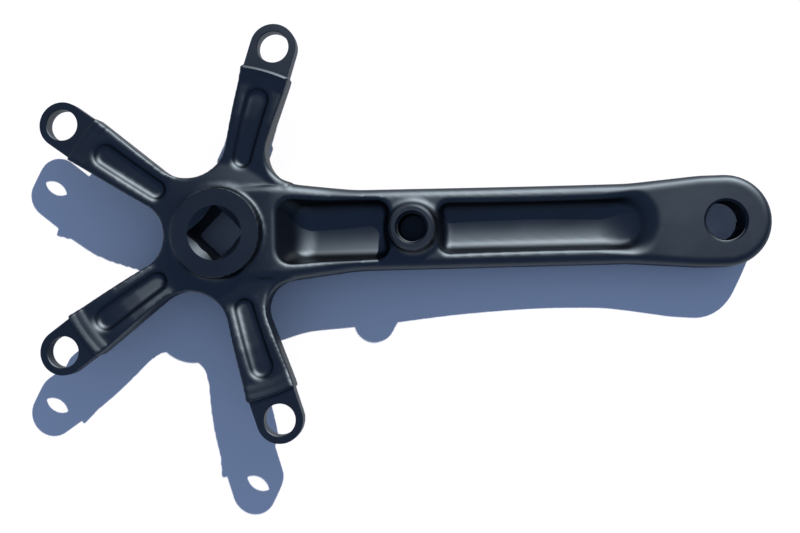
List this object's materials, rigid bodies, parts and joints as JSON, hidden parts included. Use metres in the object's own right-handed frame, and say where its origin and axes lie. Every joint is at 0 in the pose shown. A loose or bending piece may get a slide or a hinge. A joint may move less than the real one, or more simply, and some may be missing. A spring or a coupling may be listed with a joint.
{
  "type": "bicycle crank arm",
  "caption": "Forged drive-side bicycle crank arm with a square taper socket, an open channelled back and a spider for chainring bolts.",
  "frame": {"origin": "on the spindle axis at the hub's outer face", "axes": "+Z along the spindle axis, from the outer face towards the bicycle's frame; +X from the spindle to the pedal eye; +Y completes the right-handed set"},
  "size_m": [0.2461, 0.1392, 0.0318],
  "materials": {
    "black_anodised": "satin black over a forged and blasted aluminium surface"
  },
  "bodies": {
    "root": {"crank_arm": "black_anodised"}
  },
  "joints": []
}
